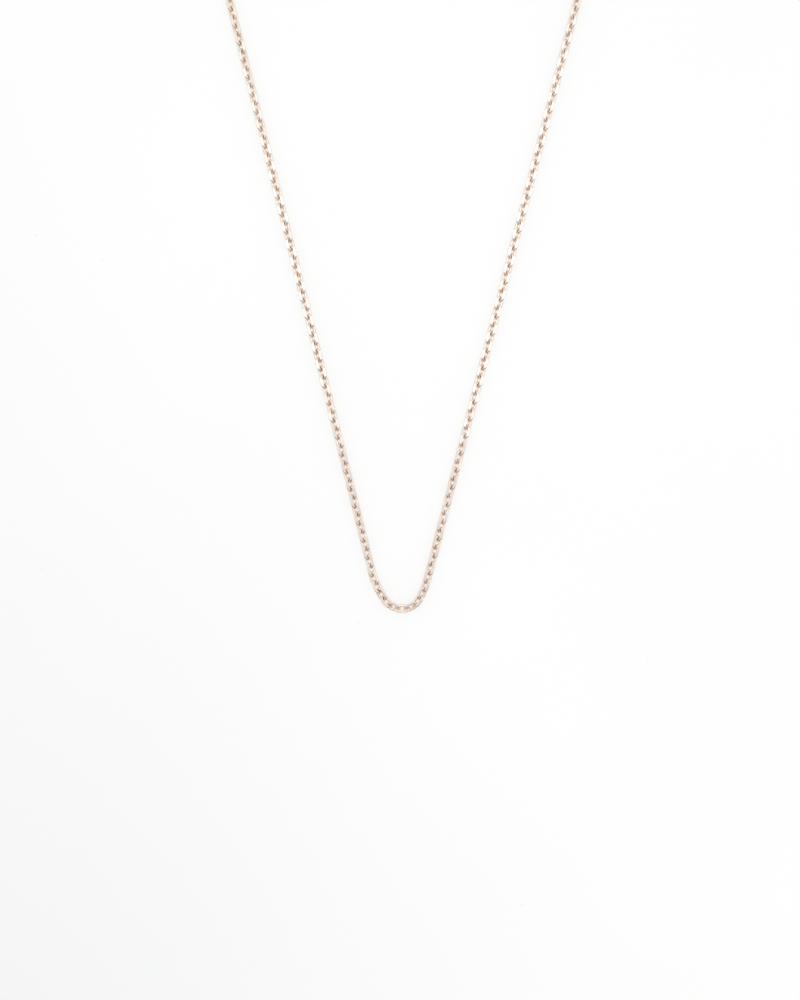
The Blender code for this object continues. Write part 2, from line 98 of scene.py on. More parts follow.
# In the bottom bend the links lie less evenly, by this factor at its middle, fading over so many links
BEND_LOOSENESS = 3.6
LOOSE_LINKS = 14
SETTLE_SEED = 11

# The rings, as in the CAD part: the radius of the wire's centre line, and the wire
CLASP_RING = (1.20 * MM, 0.50 * MM)
END_RING = (1.95 * MM, 0.60 * MM)
END_RING_HEIGHT = 0.80 * MM
TAG_RING = (1.20 * MM, 0.40 * MM)
RING_PLAY = 0.04 * MM
END_RING_PLAY = 0.075 * MM
# Facets round a ring's wire and along it
RING_SEGMENTS = 20
RING_STEPS = 96
# A ring's closed seam: half its width as an angle, and how full the wire is there
SEAM_HALF_ANGLE = 0.010
SEAM_SHARE = 0.88

# The tag
TAG_LENGTH = 5.20 * MM
TAG_WIDTH = 3.20 * MM
TAG_THICKNESS = 0.35 * MM
TAG_HOLE = 0.45 * MM
TAG_HOLE_INSET = 0.95 * MM
TAG_HEIGHT = 0.875 * MM
TAG_SLOPE = math.radians(8.5)
TAG_RIM = 0.10 * MM

# The clasp, in its own plane: its eye's middle at the origin and its nose towards +Y
CLASP_THICKNESS = 1.80 * MM
CLASP_RIM = 0.55 * MM
EYE_RADIUS = 1.15 * MM
EYE_HOLE = 0.70 * MM
EYE_THICKNESS = 0.60 * MM
EYE_RIM = 0.14 * MM
EYE_HOLE_RIM = 0.10 * MM
NECK_WIDTH = 1.50 * MM
# How far the neck reaches into the claw
NECK_ROOT = 1.20 * MM
CLAW_MIDDLE = Vector((0.0, 5.20 * MM))
CLAW_HALF = (2.30 * MM, 3.90 * MM)
MOUTH_MIDDLE = Vector((0.10 * MM, 5.95 * MM))
MOUTH_HALF = (1.05 * MM, 1.85 * MM)
MOUTH_RIM = 0.20 * MM
# The gate's and the slot's lower and upper ends
GATE = (4.30 * MM, 7.45 * MM)
GATE_GAP = 0.06 * MM
SLOT = (2.30 * MM, 4.515 * MM)
SLOT_THICKNESS = 0.90 * MM
SLOT_REACH = 0.10 * MM
PIVOT = Vector((-1.15 * MM, 3.35 * MM, 0.0))
PIN_RADIUS = 0.26 * MM
PIN_HOLE = 0.30 * MM
PIN_LENGTH = 1.70 * MM
# The pin's domed ends: (distance from the end, amount the pin is thinner there)
PIN_DOME = ((0.0, 0.10 * MM), (0.03 * MM, 0.03 * MM), (0.09 * MM, 0.0))
TRIGGER_THICKNESS = 0.80 * MM
TRIGGER_RIM = 0.10 * MM
TRIGGER_HOLE_RIM = 0.02 * MM
HUB_RADIUS = 0.80 * MM
# The part of the hub's rim that stands clear of the gate and the tab
HUB_ARC = (math.radians(200.0), math.radians(350.0))
# The thumb tab's corners, from the claw's middle
TAB = ((-2.95 * MM, -1.05 * MM), (-3.10 * MM, -1.45 * MM), (-2.85 * MM, -1.85 * MM))
SPRING_RADIUS = 0.45 * MM
SPRING_WIRE = 0.12 * MM
SPRING_PITCH = 0.15 * MM
SPRING_TURNS = 2
SPRING_STEPS = 32
SPRING_SEGMENTS = 10
SPRING_HEIGHT = -0.38 * MM
SPRING_RECESS = 0.60 * MM
# A cutter reaches this far beyond what it cuts
CUTTER_REACH = 0.3 * MM

# The picture: what the camera looks at, how far it is turned, and how much it sees from top to bottom
VIEW_MIDDLE = Vector((-0.15 * MM, -86.7 * MM, 0.7 * MM))
VIEW_TURN = math.radians(0.276)
VIEW_HEIGHT = 150.0 * MM
LENS = 60.0
SENSOR = 36.0
CAMERA_HEIGHT = VIEW_HEIGHT * LENS / SENSOR
CLIPPING = (0.01, 20.0)

# The studio. The paper lies on a light table, and FLOOR_GLOW is how bright that makes it
FLOOR_HALF = 3.0
FLOOR_GLOW = 0.72
# The light table is a little weaker toward one side, along this direction and over this range of it
GLOW_ACROSS = (0.82, 0.57, 0.0)
GLOW_RANGE = (-0.191, -0.041)
DIM_SHARE = 0.86
# The oval lamp overhead. The flats that mirror it are the white ones
LAMP_SPOT = (0.092, 0.113, 1.25)
LAMP_SIZE = (0.52, 0.43)
LAMP_POWER = 0.83
LAMP_COLOUR = (1.0, 1.0, 1.0)
SKY_COLOUR = (0.97, 0.985, 1.0)
SKY_STRENGTH = 0.94
# The front of the photographer's camera: a disc just above the view's camera
CAMERA_FRONT_RADIUS = 0.040
CAMERA_FRONT_OFFSET = Vector((0.0, -0.006, 0.01))
CAMERA_FRONT_COLOUR = (0.76, 0.80, 0.90)
# The dim wall stands in an arc on the side of the bottom bend
WALL_RADIUS = 0.60
WALL_HEIGHT = 0.48
WALL_ARC = (math.radians(205.0), math.radians(335.0))
WALL_STEPS = 24
WALL_COLOUR = (0.24, 0.215, 0.19)


# ---------------------------------------------------------------- course of the chain


def frame_matrix(origin, across, along, up):
    """A placement whose local X, Y and Z are the three given directions."""
    turn = Matrix((across, along, up)).transposed()
    return Matrix.Translation(origin) @ turn.to_4x4()


def bend_end(side):
    radius, turn = BENDS[side]
    last = math.pi / 2 - HALF_ANGLE
    out = radius * math.sin(turn) + EASING_RADIUS * (math.sin(last) - math.sin(turn))
    rise = radius * (1 - math.cos(turn)) + EASING_RADIUS * (math.cos(turn) - math.cos(last))
    return Vector((LOWEST.x + MIRROR[side] * out, LOWEST.y + rise))


def stretches(side):
    """A side's course from the lowest point up: lengths and curvatures."""
    radius, turn = BENDS[side]
    easing = math.pi / 2 - HALF_ANGLE - turn
    straight = TOP_RADIUS / math.tan(HALF_ANGLE) - bend_end(side).length
    return (
        (radius * turn, 1 / radius),
        (EASING_RADIUS * easing, 1 / EASING_RADIUS),
        (straight, 0.0),
        (TOP_RADIUS * math.pi, 1 / TOP_RADIUS),
    )


def course(side, distance):
    """Position in the plane and heading, at a distance along the chain from its lowest point."""
    out, rise, heading = 0.0, 0.0, 0.0
    left = distance
    for length, curvature in stretches(side):
        step = min(left, length)
        turned = heading + curvature * step
        if curvature:
            out += (math.sin(turned) - math.sin(heading)) / curvature
            rise += (math.cos(heading) - math.cos(turned)) / curvature
        else:
            out += step * math.cos(heading)
            rise += step * math.sin(heading)
        heading = turned
        left -= step
        if left <= 0:
            break
    return Vector((LOWEST.x + MIRROR[side] * out, LOWEST.y + rise)), heading


def side_links():
    return ROOT_LINKS // 2 + BEND_RUNS * BEND_LINKS + STRAND_RUNS * STRAND_LINKS


def end_share(index):
    """0 along the chain, rising smoothly to 1 over the last run of links."""
    share = 1 - (side_links() - index) / (STRAND_LINKS - 1)
    share = min(max(share, 0.0), 1.0)
    return share * share * (3 - 2 * share)


def link_frame(side, index):
    """The frame of a link: local X across it in its own plane, Y along the chain, Z off its plane."""
    spot, heading = course(side, index * PITCH)
    share = end_share(index)
    height = LYING_HEIGHT + (END_HEIGHT[side] - LYING_HEIGHT) * share
    along = Vector((MIRROR[side] * math.cos(heading), math.sin(heading), 0.0))
    outward = Vector((math.sin(heading), -MIRROR[side] * math.cos(heading), 0.0)) * MIRROR[side]
    tilt = math.radians(-45.0 if index % 2 else 45.0) + END_TWIST[side] * share
    across = outward * math.cos(tilt) + Vector((0, 0, 1)) * math.sin(tilt)
    return frame_matrix(Vector((spot.x, spot.y, height)), across, along, across.cross(along))


def end_wire(side, index):
    """The frame at the middle of a link's far end wire. Its local X lies along that wire."""
    return link_frame(side, index) @ Matrix.Translation((0.0, END_WIRE_OFFSET, 0.0))


def runs():
    """Every run of links as (name, side, first link, last link), from the root outwards on each side."""
    found = []
    for side in MIRROR:
        first = ROOT_LINKS // 2 + 1
        for number in range(1, BEND_RUNS + STRAND_RUNS + 1):
            count = BEND_LINKS if number <= BEND_RUNS else STRAND_LINKS
            found.append((f"chain_{side}_{number:02d}", side, first, first + count - 1))
            first += count
    return found


def frame_offset():
    """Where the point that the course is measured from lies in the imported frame."""
    joint = next(j for j in frame["joints"] if j["name"] == "link_hinge_right_01")
    return Vector(joint["pos_m"]) - end_wire("right", ROOT_LINKS // 2).to_translation()


PLACE = Matrix.Translation(frame_offset())


# ---------------------------------------------------------------- materials


def metal_nodes(name, colour, roughness):
    """A new metal material, with its node tree and its Principled shader."""
    made = bpy.data.materials.new(name)
    made.use_nodes = True
    tree = made.node_tree
    shader = tree.nodes["Principled BSDF"]
    shader.inputs["Base Color"].default_value = (*colour, 1.0)
    shader.inputs["Roughness"].default_value = roughness
    shader.inputs["Metallic"].default_value = 1.0
    made.diffuse_color = (*colour, 1.0)
    return made, tree, shader


def noise(tree, scale, detail=2.0):
    """A noise from 0 to 1 in the piece's own coordinates, as an output."""
    place = tree.nodes.new("ShaderNodeTexCoord")
    texture = tree.nodes.new("ShaderNodeTexNoise")
    texture.inputs["Scale"].default_value = scale
    texture.inputs["Detail"].default_value = detail
    tree.links.new(place.outputs["Object"], texture.inputs["Vector"])
    return texture.outputs["Fac"]


def ramp(tree, source, stops):
    """A colour ramp driven by a value. stops are (place, colour)."""
    node = tree.nodes.new("ShaderNodeValToRGB")
    elements = node.color_ramp.elements
    while len(elements) < len(stops):
        elements.new(0.5)
    for element, (place, colour) in zip(elements, stops):
        element.position = place
        element.color = (*colour, 1.0)
    tree.links.new(source, node.inputs["Fac"])
    return node.outputs["Color"]


def spread(tree, source, low, high):
    """A value from 0..1 mapped to low..high."""
    node = tree.nodes.new("ShaderNodeMapRange")
    node.inputs["To Min"].default_value = low
    node.inputs["To Max"].default_value = high
    tree.links.new(source, node.inputs["Value"])
    return node.outputs["Result"]


def bump(tree, shader, source, strength, distance):
    """Raises and lowers a shader's surface by a value."""
    node = tree.nodes.new("ShaderNodeBump")
    node.inputs["Strength"].default_value = strength
    node.inputs["Distance"].default_value = distance
    tree.links.new(source, node.inputs["Height"])
    tree.links.new(node.outputs["Normal"], shader.inputs["Normal"])


def metal(name, tones, rough, grain=9000.0, dent=0.004 * MM):
    """Polished metal with an uneven tone, an uneven polish and fine dents.

    tones go from dark to light, rough is the range of roughness, and grain is the scale of the dents.
    """
    made, tree, shader = metal_nodes(name, tones[1], sum(rough) / 2)
    tone = noise(tree, 420.0)
    stops = [(0.30, tones[0]), (0.52, tones[1]), (0.72, tones[2])]
    tree.links.new(ramp(tree, tone, stops), shader.inputs["Base Color"])
    polish = noise(tree, 2400.0, 3.0)
    tree.links.new(spread(tree, polish, *rough), shader.inputs["Roughness"])
    bump(tree, shader, noise(tree, grain), 0.35, dent)
    return made


ROSE = ((0.89, 0.755, 0.648), (0.93, 0.805, 0.703), (0.96, 0.85, 0.763))
# The flats are the same metal as the wire. These paler tones make the lamp's reflection on them read whiter,
# so they are a painted highlight.
PAINTED_HIGHLIGHT_ROSE = ((0.92, 0.81, 0.715), (0.94, 0.84, 0.755), (0.96, 0.87, 0.795))
STEEL = ((0.60, 0.59, 0.58), (0.66, 0.65, 0.64), (0.72, 0.71, 0.70))

wire_metal = metal("chain_wire", ROSE, (0.14, 0.26))
# The flats' paler tones are a painted highlight on top of their real polish
flat_metal = metal("chain_planed_flat", PAINTED_HIGHLIGHT_ROSE, (0.09, 0.16), 5000.0, 0.002 * MM)
clasp_metal = metal("clasp_polished", ROSE, (0.10, 0.22), 4000.0)
pin_metal = metal("pin_burnished", ROSE, (0.22, 0.34), 7000.0)
ring_metal = metal("ring_wire", ROSE, (0.09, 0.20), 6000.0)
tag_metal = metal("tag_polished", ROSE, (0.07, 0.16), 3000.0)
spring_metal = metal("spring_wire", STEEL, (0.20, 0.32), 9000.0)


def uneven_glow(tree):
    """How strongly the light table shines through the paper, as an output."""
    spot = tree.nodes.new("ShaderNodeNewGeometry")
    across = tree.nodes.new("ShaderNodeVectorMath")
    across.operation = "DOT_PRODUCT"
    across.inputs[1].default_value = GLOW_ACROSS
    tree.links.new(spot.outputs["Position"], across.inputs[0])
    fall = tree.nodes.new("ShaderNodeMapRange")
    fall.interpolation_type = "SMOOTHSTEP"
    fall.inputs["From Min"].default_value, fall.inputs["From Max"].default_value = GLOW_RANGE
    fall.inputs["To Min"].default_value = FLOOR_GLOW * DIM_SHARE
    fall.inputs["To Max"].default_value = FLOOR_GLOW
    tree.links.new(across.outputs["Value"], fall.inputs["Value"])
    return fall.outputs["Result"]


def paper_material():
    """Smooth white paper with faint clouds and a few specks of dust, with the light table's glow."""
    made = bpy.data.materials.new("paper")
    made.use_nodes = True
    tree = made.node_tree
    shader = tree.nodes["Principled BSDF"]
    shader.inputs["Roughness"].default_value = 0.75
    shader.inputs["Specular IOR Level"].default_value = 0.25
    tone = noise(tree, 9.0, 3.0)
    base = ramp(tree, tone, [(0.35, (0.262, 0.266, 0.266)), (0.65, (0.278, 0.280, 0.280))])
    dust = noise(tree, 900.0, 1.0)
    speck = ramp(tree, dust, [(0.79, (1.0, 1.0, 1.0)), (0.84, (0.93, 0.92, 0.91))])
    mix = tree.nodes.new("ShaderNodeMix")
    mix.data_type = "RGBA"
    mix.blend_type = "MULTIPLY"
    mix.inputs["Factor"].default_value = 1.0
    tree.links.new(base, mix.inputs["A"])
    tree.links.new(speck, mix.inputs["B"])
    tree.links.new(mix.outputs["Result"], shader.inputs["Base Color"])
    glow = ramp(tree, dust, [(0.79, (1.0, 0.998, 0.988)), (0.84, (0.94, 0.93, 0.92))])
    tree.links.new(glow, shader.inputs["Emission Color"])
    tree.links.new(uneven_glow(tree), shader.inputs["Emission Strength"])
    bump(tree, shader, noise(tree, 2500.0, 3.0), 0.12, 0.01 * MM)
    return made


# ---------------------------------------------------------------- mesh helpers


def finish_piece(name, shape, body, replaced, materials, sharp=math.radians(34)):
    """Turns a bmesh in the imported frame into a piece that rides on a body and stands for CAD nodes.

    sharp is the angle from which edges are crisp, or None to keep the crisp edges that the shape has.
    """
    mesh = bpy.data.meshes.new(name)
    bmesh.ops.recalc_face_normals(shape, faces=shape.faces)
    shape.to_mesh(mesh)
    shape.free()
    mesh.shade_smooth()
    if sharp is not None:
        mesh.set_sharp_from_angle(angle=sharp)
    for made in materials:
        mesh.materials.append(made)
    piece = bpy.data.objects.new(name, mesh)
    bpy.context.scene.collection.objects.link(piece)
    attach(piece, body)
    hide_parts(*replaced)
    return piece


def joined_rings(shape, rings, closed):
    """Bridges loops of vertices into a tube. closed joins the last loop to the first."""
    pairs = list(zip(rings, rings[1:]))
    if closed:
        pairs.append((rings[-1], rings[0]))
    count = len(rings[0])
    for one, other in pairs:
        for k in range(count):
            after = (k + 1) % count
            shape.faces.new([one[k], one[after], other[after], other[k]])


def wire_section(shape, centre, outward, up, radius, segments):
    """A round loop of vertices in the plane of two directions."""
    loop = []
    for k in range(segments):
        turn = 2 * math.pi * k / segments
        spoke = outward * (radius * math.cos(turn)) + up * (radius * math.sin(turn))
        loop.append(shape.verts.new(centre + spoke))
    return loop


# ---------------------------------------------------------------- links


def link_path():
    """Points round a link's centre line with the outward direction at each: two legs and two round ends."""
    straight = END_WIRE_OFFSET - LEG_OFFSET
    points = []
    for way in (1, -1):
        for k in range(END_STEPS + 1):
            turn = math.pi * k / END_STEPS
            outward = Vector((way * math.cos(turn), way * math.sin(turn), 0.0))
            points.append((Vector((0.0, way * straight, 0.0)) + outward * LEG_OFFSET, outward))
    return points


def link_shape(hand):
    """One link at the origin, with its two legs planed on opposite sides. The flats get material 1.

    hand is 1 or -1, for the two ways that a link can lean.
    """
    shape = bmesh.new()
    up = Vector((0, 0, 1))
    loops = []
    for spot, outward in link_path():
        loops.append(wire_section(shape, spot, outward, up, WIRE / 2, WIRE_SEGMENTS))
    joined_rings(shape, loops, True)
    for way in (1, -1):
        normal = Vector((way, 0.0, way * hand)).normalized()
        reach = LYING_HEIGHT - FLAT_DEPTH
        everything = shape.verts[:] + shape.edges[:] + shape.faces[:]
        cut = bmesh.ops.bisect_plane(
            shape,
            geom=everything,
            dist=PLANING_TOLERANCE,
            plane_co=normal * reach,
            plane_no=normal,
            clear_outer=True,
        )
        rim = [e for e in cut["geom_cut"] if isinstance(e, bmesh.types.BMEdge)]
        flat = bmesh.ops.contextual_create(shape, geom=rim)["faces"]
        for face in flat:
            face.material_index = 1
            for edge in face.edges:
                edge.smooth = False
    bmesh.ops.recalc_face_normals(shape, faces=shape.faces)
    mesh = bpy.data.meshes.new("link_pattern")
    shape.to_mesh(mesh)
    shape.free()
    return mesh


link_patterns = {hand: link_shape(hand) for hand in (1, -1)}
settle = random.Random(SETTLE_SEED)


def settled(matrix, index):
    """A link's frame, turned a little about its own middle, and more so in the bottom bend."""
    loose = 1.0 + (BEND_LOOSENESS - 1.0) * max(0.0, 1.0 - index / LOOSE_LINKS)
    roll = settle.uniform(-ROLL_SPREAD, ROLL_SPREAD) * loose
    yaw = settle.uniform(-YAW_SPREAD, YAW_SPREAD) * loose
    return matrix @ Matrix.Rotation(roll, 4, "Y") @ Matrix.Rotation(yaw, 4, "Z")


def add_links(name, links):
    """The links of one run. links are (side, index)."""
    shape = bmesh.new()
    for side, index in links:
        hand = MIRROR[side] * (-1 if index % 2 else 1)
        mesh = link_patterns[hand].copy()
        mesh.transform(PLACE @ settled(link_frame(side, index), index))
        shape.from_mesh(mesh)
        bpy.data.meshes.remove(mesh)
    metals = [wire_metal, flat_metal]
    finish_piece(name + "_links", shape, name, [name], metals, sharp=None)


def add_chain():
    root = [("left", k) for k in range(ROOT_LINKS // 2, 0, -1)]
    root += [("right", k) for k in range(ROOT_LINKS // 2 + 1)]
    add_links("chain_bottom", root)
    for name, side, first, last in runs():
        add_links(name, [(side, k) for k in range(first, last + 1)])


# ---------------------------------------------------------------- rings and the tag


def standing_frame(origin, along):
    """The frame of a ring that stands upright, in the plane of its direction and the vertical."""
    up = Vector((0, 0, 1))
    return frame_matrix(origin, along, up, along.cross(up))


def level_frame(origin, along, slope=0.0):
    """A frame that lies level with its Y in a direction, or sloping down that way."""
    across = along.cross(Vector((0, 0, 1)))
    down = Matrix.Rotation(-slope, 3, across)
    return frame_matrix(origin, across, down @ along, down @ Vector((0, 0, 1)))


def level_along(matrix):
    """The level direction of a frame's Y."""
    along = matrix.col[1].xyz
    return Vector((along.x, along.y, 0.0)).normalized()


def clasp_ring_places():
    """The chain's direction there, the jump ring's middle and the middle of the clasp's eye."""
    hinge = end_wire("right", side_links())
    along = level_along(hinge)
    held = hinge.to_translation()
    radius, wire = CLASP_RING
    height = radius + wire / 2
    reach = radius - WIRE / 2 - wire / 2 - RING_PLAY
    out = math.sqrt(reach**2 - (height - held.z) ** 2)
    middle = Vector((*(held + along * out).xy, height))
    eye_height = CLASP_THICKNESS / 2
    out = math.sqrt(radius**2 - (height - eye_height) ** 2)
    eye = Vector((*(middle + along * out).xy, eye_height))
    return along, middle, eye


def end_ring_places():
    """The chain's direction there, and the middles of the end ring, the tag's ring and the tag's hole."""
    hinge = end_wire("left", side_links())
    along = level_along(hinge)
    held = hinge.to_translation()
    reach = END_RING[0] - WIRE / 2 - END_RING[1] / 2 - END_RING_PLAY
    middle = Vector((*(held + along * reach).xy, END_RING_HEIGHT))
    far_wire = middle + along * END_RING[0]
    radius, wire = TAG_RING
    height = radius + wire / 2
    reach = radius - END_RING[1] / 2 - wire / 2 - RING_PLAY
    out = math.sqrt(reach**2 - (height - far_wire.z) ** 2)
    tag_ring = Vector((*(far_wire + along * out).xy, height))
    out = math.sqrt(radius**2 - (height - TAG_HEIGHT) ** 2)
    hole = Vector((*(tag_ring + along * out).xy, TAG_HEIGHT))
    return along, middle, tag_ring, hole


def add_ring(name, size, matrix, seam):
    """A round wire ring. seam is the angle at which its ends meet, where the wire is a little thinner."""
    radius, wire = size
    shape = bmesh.new()
    up = Vector((0, 0, 1))
    loops = []
    for k in range(RING_STEPS):
        turn = seam + 2 * math.pi * k / RING_STEPS
        outward = Vector((math.cos(turn), math.sin(turn), 0.0))
        thin = SEAM_SHARE if k == 0 else 1.0
        loops.append(wire_section(shape, outward * radius, outward, up, wire / 2 * thin, RING_SEGMENTS))
    joined_rings(shape, loops, True)
    # The full wire on both sides of the seam is drawn up close to it
    for loop, side in ((loops[1], 1), (loops[-1], -1)):
        turn = seam + side * SEAM_HALF_ANGLE
        base = seam + side * 2 * math.pi / RING_STEPS
        back = Matrix.Rotation(turn - base, 3, "Z")
        for vert in loop:
            vert.co = back @ vert.co
    shape.transform(PLACE @ matrix)
    finish_piece(name + "_wire", shape, name, [name], [ring_metal], math.radians(60))


def ellipse(middle, half, start, finish, steps):
    """Points on an ellipse from one angle to another, both ends included."""
    points = []
    for k in range(steps + 1):
        turn = start + (finish - start) * k / steps
        points.append((middle.x + half[0] * math.cos(turn), middle.y + half[1] * math.sin(turn)))
    return points


def lofted(shape, middle, half, levels, steps):
    """A closed solid of ellipse sections. levels are (height, amount the ellipse shrinks), upwards."""
    loops = []
    for height, inset in levels:
        grown = (half[0] - inset, half[1] - inset)
        points = ellipse(middle, grown, 0.0, 2 * math.pi, steps)[:-1]
        loops.append([shape.verts.new((x, y, height)) for x, y in points])
    joined_rings(shape, loops, False)
    shape.faces.new(loops[0])
    shape.faces.new(loops[-1])
    return shape


def rounded_levels(thickness, radius, steps=6):
    """Levels for lofted() that round both rims with a radius."""
    quarter = []
    for k in range(steps + 1):
        turn = math.pi / 2 * k / steps
        quarter.append((thickness / 2 - radius * (1 - math.cos(turn)), radius * (1 - math.sin(turn))))
    bottom = [(-height, inset) for height, inset in quarter]
    return [*bottom, *reversed(quarter)]


def flared_levels(thickness, radius, steps=6):
    """Levels for a hole's cutter that rounds both rims of the hole."""
    quarter = []
    for k in range(steps + 1):
        turn = math.pi / 2 * k / steps
        quarter.append((thickness / 2 - radius * (1 - math.sin(turn)), -radius * (1 - math.cos(turn))))
    over = (thickness / 2 + CUTTER_REACH, -radius)
    top = [*quarter, over]
    return [(-height, inset) for height, inset in reversed(top)] + top


def carve(name, shape, cutters, matrix):
    """A mesh made by cutting one closed shape with others. cutters are (operation, bmesh)."""
    mesh = bpy.data.meshes.new(name)
    bmesh.ops.recalc_face_normals(shape, faces=shape.faces)
    shape.to_mesh(mesh)
    shape.free()
    thing = bpy.data.objects.new(name, mesh)
    bpy.context.scene.collection.objects.link(thing)
    helpers = []
    for number, (operation, cutter) in enumerate(cutters):
        other = bpy.data.meshes.new(f"{name}_cutter_{number}")
        bmesh.ops.recalc_face_normals(cutter, faces=cutter.faces)
        cutter.to_mesh(other)
        cutter.free()
        helper = bpy.data.objects.new(other.name, other)
        bpy.context.scene.collection.objects.link(helper)
        helpers.append(helper)
        modifier = thing.modifiers.new(other.name, "BOOLEAN")
        modifier.object = helper
        modifier.operation = operation
        modifier.solver = "EXACT"
    depsgraph = bpy.context.evaluated_depsgraph_get()
    result = bmesh.new()
    result.from_mesh(thing.evaluated_get(depsgraph).to_mesh())
    result.transform(PLACE @ matrix)
    for helper in (*helpers, thing):
        bpy.data.objects.remove(helper, do_unlink=True)
    return result


def prism(outline, thickness, bevel=0.0, segments=3):
    """A flat plate with rounded rims, centred on z = 0."""
    shape = bmesh.new()
    face = shape.faces.new([shape.verts.new((x, y, -thickness / 2)) for x, y in outline])
    raised = bmesh.ops.extrude_face_region(shape, geom=[face])
    verts = [v for v in raised["geom"] if isinstance(v, bmesh.types.BMVert)]
    bmesh.ops.translate(shape, vec=(0, 0, thickness), verts=verts)
    if bevel:
        rims = [e for e in shape.edges if abs(e.verts[0].co.z - e.verts[1].co.z) < thickness / 4]
        bmesh.ops.bevel(shape, geom=rims, offset=bevel, segments=segments, profile=0.5, affect="EDGES")
    return shape


def round_hole(radius, thickness, middle=Vector((0, 0)), rim=0.04 * MM):
    """The cutter of a round hole with rounded rims."""
    return lofted(bmesh.new(), middle, (radius, radius), flared_levels(thickness, rim, 4), 48)


def add_tag(matrix):
    middle = Vector((0.0, TAG_LENGTH / 2 - TAG_HOLE_INSET))
    half = (TAG_WIDTH / 2, TAG_LENGTH / 2)
    blank = lofted(bmesh.new(), middle, half, rounded_levels(TAG_THICKNESS, TAG_RIM), 96)
    hole = round_hole(TAG_HOLE, TAG_THICKNESS)
    shape = carve("tag_blank", blank, [("DIFFERENCE", hole)], matrix)
    finish_piece("tag_plate", shape, "tag", ["tag"], [tag_metal], math.radians(40))


# ---------------------------------------------------------------- the clasp


def ellipse_angle(height, middle, half_length):
    """The angle, left of an ellipse's middle line, at which its edge passes a height."""
    return math.pi - math.asin((height - middle.y) / half_length)


def eye_plate_outline():
    """The round eye and the neck that carries it, clockwise from the neck's top right."""
    half_neck = NECK_WIDTH / 2
    start = math.acos(half_neck / EYE_RADIUS)
    round_eye = ellipse(Vector((0, 0)), (EYE_RADIUS, EYE_RADIUS), start, -math.pi - start, 48)
    neck_top = CLAW_MIDDLE.y - CLAW_HALF[1] + NECK_ROOT
    return [(half_neck, neck_top), *round_eye, (-half_neck, neck_top)]


def box_outline(low_x, high_x, low_y, high_y):
    return [(low_x, low_y), (high_x, low_y), (high_x, high_y), (low_x, high_y)]


def add_clasp_body(matrix):
    claw = lofted(bmesh.new(), CLAW_MIDDLE, CLAW_HALF, rounded_levels(CLASP_THICKNESS, CLASP_RIM, 8), 96)
    far_left = -2 * CLAW_HALF[0]
    mouth = lofted(bmesh.new(), MOUTH_MIDDLE, MOUTH_HALF, flared_levels(CLASP_THICKNESS, MOUTH_RIM), 64)
    gate = prism(box_outline(far_left, MOUTH_MIDDLE.x, *GATE), CLASP_THICKNESS * 2)
    slot = prism(box_outline(far_left, SLOT_REACH, *SLOT), SLOT_THICKNESS)
    cutters = [
        ("UNION", prism(eye_plate_outline(), EYE_THICKNESS, EYE_RIM)),
        ("DIFFERENCE", round_hole(EYE_HOLE, EYE_THICKNESS, rim=EYE_HOLE_RIM)),
        ("DIFFERENCE", mouth),
        ("DIFFERENCE", gate),
        ("DIFFERENCE", slot),
        ("DIFFERENCE", round_hole(PIN_HOLE, CLASP_THICKNESS, PIVOT.xy)),
    ]
    shape = carve("clasp_blank", claw, cutters, matrix)
    crisp = math.radians(40)
    finish_piece("clasp_claw", shape, "clasp", ["clasp_body"], [clasp_metal], crisp)


def trigger_outline():
    """The gate, its thumb tab and its hub, counter-clockwise from the gate's tip."""
    tip = GATE[1] - GATE_GAP
    low = GATE[0] + GATE_GAP
    angles = [ellipse_angle(height, CLAW_MIDDLE, CLAW_HALF[1]) for height in (tip, low)]
    outer = ellipse(CLAW_MIDDLE, CLAW_HALF, *angles, 18)
    tab = [(CLAW_MIDDLE.x + x, CLAW_MIDDLE.y + y) for x, y in TAB]
    hub = ellipse(PIVOT, (HUB_RADIUS, HUB_RADIUS), *HUB_ARC, 20)
    angles = [ellipse_angle(height, MOUTH_MIDDLE, MOUTH_HALF[1]) for height in (low, tip)]
    inner = ellipse(MOUTH_MIDDLE, MOUTH_HALF, *angles, 18)
    return [*outer, *tab, *hub, *inner]


def add_trigger(matrix):
    """The gate with its thumb tab. Its lower side has a round recess for the spring."""
    plate = prism(trigger_outline(), TRIGGER_THICKNESS, TRIGGER_RIM, 4)
    hole = round_hole(PIN_HOLE, TRIGGER_THICKNESS, PIVOT.xy, TRIGGER_HOLE_RIM)
    levels = [(-TRIGGER_THICKNESS, 0.0), (0.0, 0.0)]
    recess = lofted(bmesh.new(), PIVOT.xy, (SPRING_RECESS, SPRING_RECESS), levels, 48)
    shape = carve("trigger_blank", plate, [("DIFFERENCE", hole), ("DIFFERENCE", recess)], matrix)
    name = "clasp_trigger"
    finish_piece(name + "_gate", shape, name, [name], [clasp_metal], math.radians(40))


def add_pin(matrix):
    """The rivet, with slightly domed ends."""
    levels = [(-PIN_LENGTH / 2 + in_from_end, inset) for in_from_end, inset in PIN_DOME]
    levels += [(-height, inset) for height, inset in reversed(levels)]
    shape = lofted(bmesh.new(), PIVOT.xy, (PIN_RADIUS, PIN_RADIUS), levels, 32)
    shape.transform(PLACE @ matrix)
    finish_piece("clasp_rivet", shape, "clasp", ["clasp_pivot_pin"], [pin_metal])


